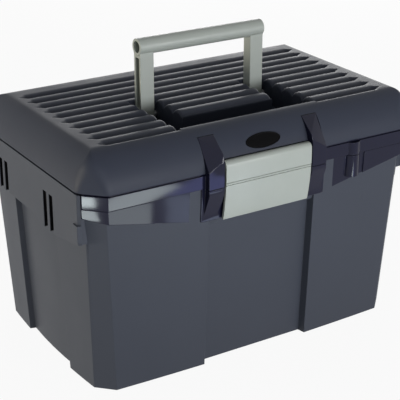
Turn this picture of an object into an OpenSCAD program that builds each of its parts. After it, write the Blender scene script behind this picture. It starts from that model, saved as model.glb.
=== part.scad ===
// Horse grooming box: a drafted tub with a hinged ribbed lid, a fold-down carrying handle,
// a wide front latch and a lift-out tray.
// The front faces -Y, the long side lies along X and the base stands on Z = 0.

/* [Rim] */
// Length over the rim
box_l = 400; // [360:1:440]
// Width over the rim
box_w = 259; // [235:1:285]
// Corner cut of the rim, measured along each side
rim_corner = 22; // [18:1:26]
// Height of the parting line between tub and lid
part_z = 204; // [195:1:225]
// Gap between tub and lid at the parting line
part_gap = 0.4; // [0.3:0.1:1]
// Height of the polished rim strip of the lid
strip_h = 15.6; // [13:0.1:19]

/* [Tub] */
// Set-back of the side walls from the rim, at the parting line
side_in = 6; // [5:0.5:8]
// Set-back of the front and back walls from the rim, at the parting line
front_in = 5.3; // [4.9:0.1:7]
// Corner cut of the base, measured along each side
base_corner = 17; // [14:1:20]
// Outward lean of the walls, run over rise
wall_draft_share = 0.05; // [0.03:0.005:0.06]
// Rise of the bowed front and back walls
front_bow = 4; // [1:0.5:5]
// Rise of the bowed side walls
side_bow = 4.7; // [1:0.1:5.5]
// Wall thickness of the mouldings
wall_t = 3; // [2.5:0.1:3.5]
// Width of the recess in the front and back walls
front_recess_w = 129; // [110:1:150]
// Depth of the recess in the front and back walls
front_recess_d = 9.5; // [6:0.5:10]
// Width of the recess in the side walls
side_recess_w = 100; // [80:1:120]
// Depth of the recess in the side walls
side_recess_d = 5.4; // [4:0.2:7]
// Height of the recesses, up to the tray ledge
recess_h = 170; // [160:1:174]

/* [Rim band and skirts] */
// Depth of the tub's rim band at the middle of the front
band_mid_h = 36; // [30:1:44]
// Depth of the tub's rim band at the corners
band_end_h = 9; // [6:1:16]
// Inset of the tub's rim band from the rim of the lid
band_inset = 0.8; // [0.5:0.1:1.5]
// Depth of the sunk panels beside the latch
panel_d = 1.6; // [0.8:0.2:2]
// Width of the sunk panels beside the latch
panel_w = 52; // [40:1:60]
// Thickness of the skirt where it stands up beside the lid
skirt_t = 3; // [2.5:0.1:3.5]
// Height of the skirt's lower edge
skirt_z = 164; // [158:1:172]
// Drop of the skirt's lower edge at the front slot pair
skirt_drop = 6; // [3:1:9]
// Width of one slot in the skirt
slot_w = 8; // [4.5:0.1:9]
// Height of a slot in the skirt
slot_h = 40; // [30:1:44]
// Distance between the two slots of a pair
slot_pitch = 13.5; // [12:0.5:18]
// Centre of the front slot pair, behind the middle
slot_front_y = -43; // [-50:1:-30]
// Centre of the rear slot pair, behind the middle
slot_rear_y = 65; // [55:1:72]

/* [Lid] */
// Height of the lid's dome above the rim strip
dome_h = 39.4; // [36:0.1:46]
// Run of the dome's front shoulder
front_shoulder = 28; // [24:1:32]
// Run of the dome's rear shoulder
rear_shoulder = 38; // [32:1:42]
// Run of the dome's side shoulders
side_shoulder = 20; // [16:1:24]
// Number of grooves between the deck's ribs
groove_count = 10; // [5:1:10]
// Spacing of the grooves
groove_pitch = 18.5; // [16:0.5:19]
// Depth of a groove
groove_d = 4.5; // [2:0.5:5]
// Width of the flat crown on a rib
rib_land = 2; // [1.5:0.5:4]
// Distance of the rear groove's ends from the side shoulders
groove_rear_in = 4; // [3:1:30]
// Distance of the front groove's ends from the side shoulders
groove_front_in = 9; // [6:1:40]
// Run of a groove's pointed end
groove_runout = 12; // [8:1:30]

/* [Handle] */
// Diameter of the grip
grip_d = 17.5; // [16:0.5:20]
// Bore of the hollow grip
grip_bore = 12; // [8:0.5:13]
// Length of the grip
grip_l = 152; // [130:1:160]
// Finger room in front of the folded grip
finger_front = 9.75; // [6:0.25:14]
// Width of a handle leg
leg_w = 16; // [13:0.5:17]
// Depth of a handle leg
leg_d = 13; // [11:0.5:14]
// Place of the handle pivot, behind the middle
pivot_y = -4.5; // [-8:0.5:0]
// Diameter of the handle pins
handle_pin_d = 6; // [4:0.5:7]
// Depth of the handle trench below the deck
trench_d = 27; // [26:0.5:29]
// Width of the deck's rim in front of the trench
trench_rim = 4; // [3.5:0.5:10]
// Finger room between the folded grip and the island
finger_gap = 10; // [6:0.5:14]

/* [Latch] */
// Width of the latch flap
latch_w = 103; // [80:1:106]
// Height of the latch flap below its pin
latch_h = 57.5; // [50:0.5:62]
// Radius of the latch barrel
barrel_r = 5.5; // [4.5:0.1:6]
// Diameter of the latch pin
latch_pin_d = 4; // [3:0.5:5]
// Thickness of the flap
flap_t = 3; // [2.5:0.1:3.4]
// Width of an ear beside the latch
ear_w = 18; // [14:0.5:22]
// Reach of the ears in front of the rim
ear_reach = 6.5; // [5.5:0.5:8]
// Length of the badge plate
badge_l = 41; // [30:1:50]
// Height of the badge plate
badge_h = 15; // [10:0.5:18]

/* [Hinges] */
// Distance of each hinge from the middle
hinge_x = 105; // [80:1:130]
// Length of a hinge
hinge_l = 64; // [50:1:80]
// Diameter of the hinge pins
hinge_pin_d = 5; // [4:0.5:6]
// Outer radius of the hinge knuckles
knuckle_r = 6; // [5:0.5:7]
// Distance of the hinge axis behind the rim
hinge_reach = 8.5; // [8:0.5:11]

/* [Tray] */
// Depth of the tray below its flange
tray_d = 44; // [30:1:60]
// Thickness of the tray's walls
tray_t = 2; // [1.5:0.1:3]
// Clearance round the tray inside the tub
tray_gap = 2.75; // [2:0.25:6]
// Height of the carrying web above the flange
web_h = 28; // [20:1:32]
// Length of the finger slot in the carrying web
web_slot_l = 84; // [60:1:100]
// Height of the finger slot in the carrying web
web_slot_h = 18; // [12:1:20]

/* [Hidden] */
$fn = 48;

// Overrun of every cut past the face it opens
over = 1;
// Radial running clearance of a pin in its bore
pin_clear = 0.05;
// Gap between pieces of the same body that lie side by side
seat_gap = 0.3;
// Gap between pieces that move past each other
move_gap = 1;
// Sides of a full circle on the bowed walls
drum_sides = 360;
// Steps of a recessed panel, a dome shoulder and an ellipse
panel_steps = 2;
shoulder_steps = 8;
ellipse_steps = 48;
// Shortening of a corner cut per unit of wall set-back
corner_inset_share = 2 - sqrt(2);
// Reach of cutting blocks past everything
far = 2 * box_l;
// Roundness of the dome's shoulder, 2 being a circle
shoulder_power = 1.65;
// Speed at which the dome's corner facets close, and the least that is left of them
facet_power = 2;
facet_least = 2;

// Heights and half sizes of the rim, and the X + Y sum of its corner plane
frame_z = part_z + part_gap;
seam_z = frame_z + strip_h;
deck_z = seam_z + dome_h;
half_l = box_l / 2;
half_w = box_w / 2;
corner_sum = half_l + half_w - rim_corner;

// Length and width of the base
base_l = box_l - 2 * side_in - 2 * wall_draft_share * part_z;
base_w = box_w - 2 * front_in - 2 * wall_draft_share * part_z;

// Side walls of a recess, and the bow left in the recessed side panels
recess_slope = 2;
side_panel_bow = 1.8;

// Ledge inside the tub and the half sizes of the inside above it
ledge_z = recess_h + wall_t;
inside_half_l = base_l / 2 + wall_draft_share * ledge_z - wall_t;
inside_half_w = base_w / 2 + wall_draft_share * ledge_z - wall_t;
inside_sum = base_corner_sum(ledge_z) - sqrt(2) * wall_t;

// Rim band of the tub and rim strip of the lid, with the shadow groove under the dome
band_half_l = half_l - skirt_t - seat_gap;
band_half_w = half_w - band_inset;
panel_edge = 4;
strip_half_l = half_l - skirt_t - 2 * seat_gap;
strip_t = 5;
shadow_h = 1.6;
shadow_d = 2;

// Ears and uprights beside the latch
latch_gap = 1.5;
ear_in = latch_w / 2 + latch_gap;
ear_out = ear_in + ear_w;
ear_y = half_w + ear_reach;
ear_t = wall_t + move_gap;
ear_proud = 0.8;
ear_set = 3.5;
ear_top_share = 0.835;
ear_low_share = 0.25;
ear_knee_share = 0.47;
ear_foot_share = 0.06;
ear_lean = 35;
ear_slope_share = 0.36;

// Latch pin, flap and the keeper on the tub
latch_pin_y = ear_y + move_gap / 2 - barrel_r;
latch_pin_z = seam_z + barrel_r - seat_gap;
latch_pin_half = ear_in + ear_w / 2;
pocket_in = 2.5;
bed_in = 2;
pocket_y = half_w - pocket_in;
bed_y = half_w - bed_in;
keeper_r = 1.2;
keeper_half = 30;
keeper_drop = 26;
flap_bulge = 0.4;
flap_foot_in = 5.5;
flap_knee_share = 0.3;
flap_lip_h = 3;
flap_lip_gap = 0.2;
flap_lip_y = pocket_y + keeper_r + flap_lip_gap;
line_r = 0.7;
line_pitch = 2.4;
line_share = 0.32;

// Half-round lugs at the right of the front, and the small lugs of the skirts
lug_x = 112;
lug_r = 9;
lug_reach = 4;
lug_h = 24;
skirt_depth = 10;
skirt_lug_w = 10;
skirt_lug_h = 18;
skirt_lug_out = 2;
skirt_lug_fore = 3.5;

// Badge plate in the lid front
badge_share = 0.51;
badge_sink = 1.4;
badge_proud = 0.5;
badge_z = seam_z + dome_h * badge_share;
badge_lean = atan((dome_front(badge_z - badge_h / 2) - dome_front(badge_z + badge_h / 2)) / badge_h);

// Handle and its trench
pivot_share = 0.59;
pivot_z = seam_z + dome_h * pivot_share;
trench_front = front_shoulder + trench_rim - half_w;
handle_h = pivot_y - trench_front - grip_d / 2 - finger_front;
grip_z = pivot_z + handle_h;
grip_inset = 0.5;
leg_out = grip_l / 2 - grip_inset;
leg_in = leg_out - leg_w;
leg_web = 3;
leg_lip = 2.6;
leg_foot = 9;
leg_head = 3;
trench_side_in = 4.5;
trench_side_out = 6;
trench_floor = deck_z - trench_d;
trench_back = pivot_y + leg_d / 2 + 2 * seat_gap;
trench_in = leg_in - trench_side_in;
trench_out = leg_out + trench_side_out;
island_front = pivot_y - handle_h + grip_d / 2 + finger_gap;

// Ribs of the deck: round crowns of radius crown_r, centred crown_low below the deck
deck_t = groove_d + wall_t;
crown_low = (pow(groove_pitch / 2, 2) + pow(groove_d, 2) - pow(rib_land / 2, 2)) / (2 * groove_d);
crown_r = sqrt(pow(crown_low, 2) + pow(rib_land / 2, 2));
crown_steps = 6;
groove_mid_y = -12.25;
groove_tip_rise = 0.5;
groove_rear_half = half_l - side_shoulder - groove_rear_in;
groove_front_half = half_l - side_shoulder - groove_front_in;

// Hinges
hinge_y = half_w + hinge_reach;
hinge_z = part_z;
knuckle_l = hinge_l / 4;
knuckle_gap = 0.5;
lid_knuckle_half = hinge_l / 2 - knuckle_l - knuckle_gap;

// Tray and dividers
tray_floor_z = ledge_z - tray_d + tray_t;
tray_lean = wall_draft_share * (ledge_z - tray_d);
tray_l = base_l + 2 * (tray_lean + side_bow - side_recess_d - side_panel_bow - wall_t - tray_gap);
tray_w = base_w + 2 * (tray_lean + front_bow - front_recess_d - wall_t - tray_gap);
tray_corner = 24;
flange_gap = 1;
web_y = 12;
web_end_share = 0.4;
divider_t = 2;
divider_gap = 0.3;
divider_x = tray_l / 6;
divider_drop = 5;
divider_notch_r = 16;
rib_t = 1.5;
rib_d = 3;

// X + Y sum of the body's corner plane at height z
function base_corner_sum(z) = base_l / 2 + base_w / 2 - base_corner + 2 * wall_draft_share * z;

// Radius of a wall that bows out by bow over a half length
function bow_radius(bow, half) = (half * half + bow * bow) / (2 * bow);

// Outline made of a front path and a side path, the back and left being their copies
function ring(front, side) = concat(
    [for (p = front) [p[0], -p[1]]],
    [for (p = side) [p[1], p[0]]],
    [for (p = front) [-p[0], p[1]]],
    [for (p = side) [-p[1], -p[0]]]);

// Rectangle with cut corners
function cut_rect(hl, hw, c) = ring([[c - hl, hw], [hl - c, hw]], [[c - hw, hl], [hw - c, hl]]);

// Cut rectangle whose corners lie on the planes where X + Y = sum
function plane_rect(hl, hw, sum) = cut_rect(hl, hw, hl + hw - sum);

// Share of the shoulder's run that the dome has gone in at a share h of its height
function shoulder_in(h) = 1 - pow(1 - pow(h, shoulder_power), 1 / shoulder_power);

// Distance of the dome's front face from the middle at height z
function dome_front(z) = half_w - front_shoulder * shoulder_in((z - seam_z) / dome_h);

// Outline of the dome at angle a of its shoulder, set back by t
function dome_outline(a, t) =
    let (
        s = 1 - pow(cos(a), 2 / shoulder_power),
        hl = half_l - side_shoulder * s - t,
        front = half_w - front_shoulder * s - t,
        rear = half_w - rear_shoulder * s - t,
        c = (rim_corner - facet_least) * pow(1 - s, facet_power) + facet_least)
    [[c - hl, -front], [hl - c, -front], [hl, c - front], [hl, rear - c],
        [hl - c, rear], [c - hl, rear], [-hl, rear - c], [-hl, c - front]];

// Rings of the dome, set back by t and lowered at the top by drop
function dome_rings(t, drop) = [for (i = [0 : shoulder_steps])
    let (a = 90 * i / shoulder_steps)
    [dome_outline(a, t), seam_z + (dome_h - drop) * pow(sin(a), 2 / shoulder_power)]];

// Outline of the handle trench, grown by g
function trench_outline(g) = [
    [-trench_out - g, trench_front - g], [trench_out + g, trench_front - g],
    [trench_out + g, trench_back + g], [trench_in - g, trench_back + g],
    [trench_in - g, island_front + g], [g - trench_in, island_front + g],
    [g - trench_in, trench_back + g], [-trench_out - g, trench_back + g]];

// Flank of a rib beside a groove, from the rib's crown down to the groove's bottom
function rib_flank() =
    let (
        a0 = asin(rib_land / 4 / crown_r),
        a1 = asin(groove_pitch / 2 / crown_r))
    [for (i = [0 : crown_steps])
        let (a = a0 + (a1 - a0) * i / crown_steps)
        [groove_pitch / 2 - crown_r * sin(a), crown_r * cos(a) - crown_low]];

// Cross-section of a groove between two ribs
function groove_section() =
    let (
        flank = rib_flank(),
        left = [for (p = flank) [-p[0], p[1]]],
        right = [for (i = [crown_steps - 1 : -1 : 0]) flank[i]],
        top = [[flank[0][0], over], [-flank[0][0], over]])
    concat(left, right, top);

// Solid through a stack of outlines: each ring is an outline and its height
module loft(rings) {
    n = len(rings[0][0]);
    top = (len(rings) - 1) * n;
    points = [for (r = rings) for (p = r[0]) [p[0], p[1], r[1]]];
    sides = [for (k = [0 : len(rings) - 2]) for (i = [0 : n - 1])
        let (a = k * n + i, b = k * n + (i + 1) % n)
        each [[a, a + n, b + n], [a, b + n, b]]];
    polyhedron(
        points = points,
        faces = concat([[for (i = [0 : n - 1]) i]], sides, [[for (i = [n - 1 : -1 : 0]) top + i]]));
}

// Prism of a Y-Z profile along X
module along_x(x0, x1, profile) {
    translate([x0, 0, 0]) rotate([90, 0, 90]) linear_extrude(x1 - x0) polygon(profile);
}

// Prism of an X-Z profile along Y
module along_y(y0, y1, profile) {
    translate([0, y1, 0]) rotate([90, 0, 0]) linear_extrude(y1 - y0) polygon(profile);
}

// Prism of an outline from z0 to z1
module along_z(z0, z1, outline) {
    translate([0, 0, z0]) linear_extrude(z1 - z0) polygon(outline);
}

// Round rod along X
module rod(x0, x1, y, z, r) {
    translate([x0, y, z]) rotate([0, 90, 0]) cylinder(h = x1 - x0, r = r);
}

// The same on both sides of the middle
module both_sides() {
    children();
    mirror([1, 0, 0]) children();
}

// Everything beyond a plane that faces dir, at distance d on the ground, leaning out with height
module beyond(dir, d, lean_share) {
    rotate([0, 0, dir]) translate([d, 0, 0]) rotate([0, atan(lean_share), 0])
        translate([0, -far, -far]) cube([far, 2 * far, 2 * far]);
}

// Everything beyond the four corner planes that meet X + Y = sum on the ground
module beyond_corners(sum) {
    for (dir = [45 : 90 : 315]) beyond(dir, sum / sqrt(2), sqrt(2) * wall_draft_share);
}

// Round block whose skin is a bowed wall that faces dir, set back by t
module drum(dir, d, bow, half, t) {
    r = bow_radius(bow, half);
    rotate([0, 0, dir]) translate([d + bow, 0, 0]) rotate([0, atan(wall_draft_share), 0])
        translate([-r, 0, -far]) cylinder(h = 2 * far, r = r - t, $fn = drum_sides);
}

// Body of the tub between four bowed walls and four corner planes, set back by t
module walls(t, z0, z1) {
    half_u = base_l / 2 - base_corner;
    half_v = base_w / 2 - base_corner;
    difference() {
        intersection() {
            translate([-far, -far, z0]) cube([2 * far, 2 * far, z1 - z0]);
            drum(0, base_l / 2, side_bow, half_v, t);
            drum(90, base_w / 2, front_bow, half_u, t);
            drum(180, base_l / 2, side_bow, half_v, t);
            drum(270, base_w / 2, front_bow, half_u, t);
        }
        beyond_corners(base_corner_sum(0) - sqrt(2) * t);
    }
}

// Block of a recess in the wall that faces dir, grown inwards by t and ending at height top
module recess(dir, d, half, depth, bow, t, top) {
    n = bow > 0 ? panel_steps : 1;
    wide = half + t;
    edge = wide - recess_slope;
    panel = [for (i = [-n : 2 / n : n]) [-bow * i * i / n / n, edge * i / n]];
    mouth = [[depth, wide], [far, wide], [far, -wide], [depth, -wide]];
    rotate([0, 0, dir]) intersection() {
        translate([d - depth - t, 0, 0]) rotate([0, atan(wall_draft_share), 0])
            along_z(-far, far, concat(panel, mouth));
        translate([0, -far, -far]) cube([far, 2 * far, far + top]);
    }
}

// All four recesses
module recesses(t, top) {
    for (dir = [0, 180])
        recess(dir, base_l / 2 + side_bow, side_recess_w / 2, side_recess_d, side_panel_bow, t, top);
    for (dir = [90, 270])
        recess(dir, base_w / 2 + front_bow, front_recess_w / 2, front_recess_d, 0, t, top);
}

// Plain block of the rim band, its front and back set back by d
module band_block(d) {
    lean = wall_draft_share * part_z;
    difference() {
        translate([-half_l, -half_w, 0]) cube([box_l, box_w, part_z + 2 * over]);
        for (dir = [90, 270]) beyond(dir, band_half_w - d - lean, wall_draft_share);
        for (dir = [0, 180]) beyond(dir, band_half_l - lean, wall_draft_share);
        beyond_corners(corner_sum - band_inset - 2 * lean);
    }
}

// Rim band with its slanted lower edges and the sunk panels beside the latch
module band() {
    low = part_z - band_mid_h;
    top = part_z + 3 * over;
    end = part_z - band_end_h;
    difference() {
        intersection() {
            band_block(0);
            along_y(-box_w, box_w, [
                [-half_l, end], [-ear_out, low], [ear_out, low],
                [half_l, end], [half_l, top], [-half_l, top]]);
        }
        difference() {
            both_sides() translate([ear_out + panel_edge, -box_w, low - over])
                cube([panel_w, 2 * box_w, top - low + 2 * over]);
            band_block(panel_d);
        }
    }
}

// Right side skirt with its slot pairs, only a thin plate where it meets the corner cuts
module skirt() {
    low = skirt_z - skirt_drop;
    pair = slot_pitch / 2 + slot_w;
    cut = skirt_t + move_gap;
    intersection() {
        difference() {
            along_x(half_l - skirt_depth, half_l, [
                [-half_w, skirt_z + skirt_drop],
                [slot_front_y - pair, low],
                [slot_front_y + pair, low],
                [slot_front_y + 2 * pair, skirt_z],
                [half_w, skirt_z],
                [half_w, seam_z - shadow_h],
                [-half_w, seam_z - shadow_h]]);
            for (y = [slot_front_y, slot_rear_y], side = [-1, 1])
                translate([half_l - cut, y + side * slot_pitch / 2 - slot_w / 2, low - over])
                    cube([cut + over, slot_w, slot_h + over]);
            for (y = [-half_w - over, half_w - rim_corner])
                translate([half_l - skirt_depth - over, y, low - over])
                    cube([skirt_depth + over - skirt_t, rim_corner + over, deck_z]);
        }
        along_z(low - over, deck_z, plane_rect(half_l + over, half_w, corner_sum));
    }
}

// Small lug at the foot of a skirt's front end
module skirt_lug() {
    translate([half_l - skirt_t, rim_corner - half_w - skirt_lug_fore, skirt_z + skirt_drop])
        cube([skirt_t + skirt_lug_out, skirt_lug_w, skirt_lug_h]);
}

// Upright that carries an ear's line down the tub
module upright() {
    foot = part_z - band_mid_h - skirt_drop;
    along_x(ear_in, ear_out, [
        [-base_w / 2, part_z + over],
        [-base_w / 2, foot],
        [-base_w / 2 - wall_draft_share * foot, foot],
        [-ear_y, part_z - barrel_r],
        [-ear_y, part_z + over]]);
}

// Half-round lug from z0 to z1
module lug(z0, z1) {
    translate([lug_x, lug_r - lug_reach - half_w, z0]) cylinder(h = z1 - z0, r = lug_r);
}

// Knuckles of the tub at the right hinge
module tub_knuckles() {
    root_y = half_w - 2 * wall_t;
    for (x = [hinge_x - hinge_l / 2, hinge_x + hinge_l / 2 - knuckle_l]) {
        rod(x, x + knuckle_l, hinge_y, hinge_z, knuckle_r);
        along_x(x, x + knuckle_l, [
            [root_y, hinge_z - 3 * knuckle_r],
            [hinge_y, hinge_z - knuckle_r],
            [hinge_y, hinge_z],
            [root_y, hinge_z]]);
    }
}

// Knuckle of the lid at the right hinge
module lid_knuckle() {
    root_y = half_w - strip_t / 2;
    x0 = hinge_x - lid_knuckle_half;
    x1 = hinge_x + lid_knuckle_half;
    rod(x0, x1, hinge_y, hinge_z, knuckle_r);
    along_x(x0, x1, [
        [root_y, frame_z],
        [hinge_y, frame_z],
        [hinge_y, hinge_z + knuckle_r],
        [root_y, hinge_z + 2 * knuckle_r]]);
}

// Bores of both hinges
module hinge_bores() {
    both_sides() rod(hinge_x - hinge_l / 2 - over, hinge_x + hinge_l / 2 + over,
        hinge_y, hinge_z, hinge_pin_d / 2 + pin_clear);
}

// Drafted tub with rim band, skirts, uprights, keeper and hinge knuckles
module tub() {
    color("#41454f") difference() {
        union() {
            difference() {
                walls(0, 0, part_z + over);
                recesses(0, recess_h);
            }
            band();
            both_sides() skirt();
            both_sides() skirt_lug();
            both_sides() upright();
            lug(part_z - lug_h, part_z + over);
            both_sides() tub_knuckles();
        }
        difference() {
            walls(wall_t, wall_t, part_z + 3 * over);
            recesses(wall_t, ledge_z);
        }
        translate([skirt_t - half_l, -box_w, part_z])
            cube([box_l - 2 * skirt_t, box_w + half_w + seat_gap, deck_z]);
        difference() {
            translate([-ear_in, -box_w, part_z - band_mid_h - over])
                cube([2 * ear_in, box_w - pocket_y, deck_z]);
            rod(-keeper_half, keeper_half, -pocket_y, part_z - keeper_drop, keeper_r);
        }
        hinge_bores();
    }
}

// Steel pin of the right hinge
module hinge_pin() {
    color("#b9bcc0") rod(hinge_x - hinge_l / 2, hinge_x + hinge_l / 2, hinge_y, hinge_z, hinge_pin_d / 2);
}

module hinge_pin_left() {
    mirror([1, 0, 0]) hinge_pin();
}

module hinge_pin_right() {
    hinge_pin();
}

// Finger slot through the carrying web of the tray
module web_slot() {
    z = ledge_z + web_h - web_slot_h;
    for (x = [-1, 1])
        translate([x * (web_slot_l - web_slot_h) / 2, web_y + tray_t + over, z])
            rotate([90, 0, 0]) cylinder(h = tray_t + 2 * over, r = web_slot_h / 2);
    translate([(web_slot_h - web_slot_l) / 2, web_y - over, z - web_slot_h / 2])
        cube([web_slot_l - web_slot_h, tray_t + 2 * over, web_slot_h]);
}

// Guide ribs of one divider, on the front wall and on the web
module divider_guides(x) {
    half = divider_t / 2 + divider_gap;
    for (side = [-1, 1], y = [tray_t - tray_w / 2, web_y - rib_d])
        translate([x + side * (half + rib_t / 2) - rib_t / 2, y, tray_floor_z])
            cube([rib_t, rib_d, tray_d - tray_t - divider_drop]);
}

// Tray that hangs by its flange on the ledge, with a lengthwise carrying web
module lift_out_tray() {
    end = tray_l / 2 - tray_t / 2;
    color("#565b66") {
        difference() {
            union() {
                along_z(ledge_z, ledge_z + tray_t, plane_rect(inside_half_l - flange_gap,
                    inside_half_w - flange_gap, inside_sum - 2 * flange_gap));
                along_z(ledge_z - tray_d, ledge_z + tray_t / 2,
                    cut_rect(tray_l / 2, tray_w / 2, tray_corner));
            }
            along_z(tray_floor_z, deck_z, cut_rect(tray_l / 2 - tray_t, tray_w / 2 - tray_t,
                tray_corner - corner_inset_share * tray_t));
        }
        difference() {
            along_y(web_y, web_y + tray_t, [
                [-end, tray_floor_z - tray_t / 2],
                [end, tray_floor_z - tray_t / 2],
                [end, ledge_z],
                [web_end_share * end, ledge_z + web_h],
                [-web_end_share * end, ledge_z + web_h],
                [-end, ledge_z]]);
            web_slot();
        }
        for (x = [-divider_x, divider_x]) divider_guides(x);
    }
}

// Slide-in divider at place x
module tray_divider(x) {
    y0 = tray_t - tray_w / 2 + divider_gap;
    y1 = web_y - divider_gap;
    h = tray_d - tray_t - divider_drop;
    color("#6d737d") difference() {
        translate([x - divider_t / 2, y0, tray_floor_z]) cube([divider_t, y1 - y0, h]);
        rod(x - divider_t, x + divider_t, (y0 + y1) / 2,
            tray_floor_z + h + divider_notch_r / 2, divider_notch_r);
    }
}

module tray_divider_left() {
    tray_divider(-divider_x);
}

module tray_divider_right() {
    tray_divider(divider_x);
}

// Right ear beside the latch: proud at its inner edge, running out towards its outer edge
module ear() {
    top_z = seam_z + dome_h * ear_top_share;
    low_z = seam_z + dome_h * ear_low_share;
    knee_z = seam_z + dome_h * ear_knee_share;
    foot_z = seam_z + dome_h * ear_foot_share;
    difference() {
        along_x(ear_in, ear_out, [
            [ear_t - half_w, frame_z],
            [-ear_y, frame_z],
            [-ear_y, low_z],
            [ear_set - ear_y, knee_z],
            [-dome_front(top_z) - ear_proud, top_z],
            [ear_t - dome_front(top_z), top_z - ear_t / 2],
            [ear_t - dome_front(knee_z), knee_z],
            [ear_t - half_w, seam_z]]);
        translate([ear_out, -ear_y, foot_z]) rotate([-ear_lean, 0, 0]) along_z(-far, far, [
            [over, ear_slope_share * over],
            [-ear_w - over, -ear_slope_share * (ear_w + over)],
            [-ear_w - over, -ear_w],
            [over, -ear_w]]);
    }
}

// Room that the right ear needs in the cover
module ear_room() {
    top_z = seam_z + dome_h * ear_top_share + seat_gap;
    mid_z = seam_z + dome_h * ear_knee_share;
    back = ear_t + seat_gap;
    along_x(ear_in - seat_gap, ear_out + seat_gap, [
        [back - half_w, seam_z - over], [back - half_w, seam_z],
        [back - dome_front(mid_z), mid_z], [back - dome_front(top_z), top_z - ear_t / 2],
        [-dome_front(top_z) - ear_proud, top_z], [-ear_y, top_z], [-ear_y, seam_z - over]]);
}

// Polished rim of the lid with the ears, a lug and the hinge knuckles
module lid_frame() {
    color("#34375a") difference() {
        union() {
            difference() {
                union() {
                    along_z(frame_z, seam_z - shadow_h, plane_rect(strip_half_l, half_w, corner_sum));
                    along_z(frame_z, seam_z, plane_rect(strip_half_l - shadow_d, half_w - shadow_d,
                        corner_sum - 2 * shadow_d));
                    lug(frame_z, seam_z - shadow_h);
                }
                along_z(frame_z - over, seam_z + over, plane_rect(strip_half_l - strip_t, half_w - strip_t,
                    corner_sum - sqrt(2) * strip_t));
                translate([-ear_in - over, -box_w, frame_z - over])
                    cube([2 * ear_in + 2 * over, box_w - bed_y, strip_h + 2 * over]);
            }
            both_sides() ear();
            both_sides() lid_knuckle();
        }
        rod(-latch_pin_half, latch_pin_half, -latch_pin_y, latch_pin_z, latch_pin_d / 2 + pin_clear);
        hinge_bores();
    }
}

// One groove of the deck at place y, with pointed ends at half length tip
module groove(y, tip) {
    section = groove_section();
    n = len(section);
    straight = tip - groove_runout;
    ends = [for (x = [-straight, straight]) for (p = section) [x, p[0], p[1]]];
    tips = [[-tip, 0, groove_tip_rise], [tip, 0, groove_tip_rise]];
    faces = [for (i = [0 : n - 1])
        let (j = (i + 1) % n)
        each [[i, i + n, j + n], [i, j + n, j], [i, j, 2 * n], [j + n, i + n, 2 * n + 1]]];
    translate([0, y, deck_z]) polyhedron(points = concat(ends, tips), faces = faces);
}

// All grooves of the deck, from the back to the front, clear of the rim in front of the trench
module grooves() {
    last = groove_count - 1;
    difference() {
        for (i = [0 : last])
            groove(groove_mid_y + groove_pitch * (last / 2 - i),
                groove_rear_half + (groove_front_half - groove_rear_half) * i / last);
        translate([-trench_out, -half_w, trench_floor])
            cube([2 * trench_out, half_w + trench_front, trench_d + 2 * over]);
    }
}

// Oval of the badge plate, grown by g, from z0 to z1 along the face's own direction
module badge_oval(g, z0, z1) {
    translate([0, -dome_front(badge_z), badge_z]) rotate([90 - badge_lean, 0, 0])
        along_z(z0, z1, [for (i = [0 : ellipse_steps - 1]) let (a = 360 * i / ellipse_steps)
            [(badge_l / 2 + g) * cos(a), (badge_h / 2 + g) * sin(a)]]);
}

// Domed cover of the lid with its ribbed deck and the handle trench
module lid_cover() {
    inner = dome_rings(wall_t, deck_t);
    back_y = half_w - wall_t - barrel_r;
    color("#3a3d45") difference() {
        union() {
            difference() {
                loft(dome_rings(0, 0));
                loft(concat([[dome_outline(0, wall_t), seam_z - over]], inner));
            }
            along_z(trench_floor - wall_t, deck_z - groove_d - over, trench_outline(wall_t));
            translate([-ear_in, wall_t / 2 - half_w, seam_z])
                cube([2 * ear_in, half_w - back_y, 2 * barrel_r]);
        }
        grooves();
        along_z(trench_floor, deck_z + over, trench_outline(0));
        both_sides() rod(trench_in - wall_t - over, trench_out + wall_t + over, pivot_y, pivot_z,
            handle_pin_d / 2 + pin_clear);
        both_sides() ear_room();
        rod(-ear_in - seat_gap, ear_in + seat_gap, -latch_pin_y, latch_pin_z, barrel_r + move_gap);
        badge_oval(seat_gap, -badge_sink, badge_h);
    }
}

// Bare oval plate sunk in the lid front
module badge_plate() {
    color("#141417") badge_oval(0, -badge_sink, badge_proud);
}

// Pin through the ears and the latch barrel
module latch_pin() {
    color("#b9bcc0") rod(-latch_pin_half, latch_pin_half, -latch_pin_y, latch_pin_z, latch_pin_d / 2);
}

// Pin of the right handle leg
module handle_pin() {
    color("#b9bcc0") rod(trench_in - wall_t, trench_out + wall_t, pivot_y, pivot_z, handle_pin_d / 2);
}

module handle_pin_left() {
    mirror([1, 0, 0]) handle_pin();
}

module handle_pin_right() {
    handle_pin();
}

// Right leg of the handle, a channel open to the outside
module handle_leg() {
    channel = handle_h - leg_foot - grip_d / 2 - leg_head;
    difference() {
        union() {
            rod(leg_in, leg_out, pivot_y, pivot_z, leg_d / 2);
            translate([leg_in, pivot_y - leg_d / 2, pivot_z]) cube([leg_w, leg_d, handle_h]);
        }
        translate([leg_in + leg_web, pivot_y - leg_d / 2 + leg_lip, pivot_z + leg_foot])
            cube([leg_w, leg_d - 2 * leg_lip, channel]);
    }
}

// Handle with a hollow round grip on two channel legs
module carry_handle() {
    color("#9aa29b") difference() {
        union() {
            rod(-grip_l / 2, grip_l / 2, pivot_y, grip_z, grip_d / 2);
            both_sides() handle_leg();
        }
        rod(-grip_l / 2 - over, grip_l / 2 + over, pivot_y, grip_z, grip_bore / 2);
        both_sides() rod(leg_in - over, leg_out + over, pivot_y, pivot_z, handle_pin_d / 2 + pin_clear);
    }
}

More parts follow.
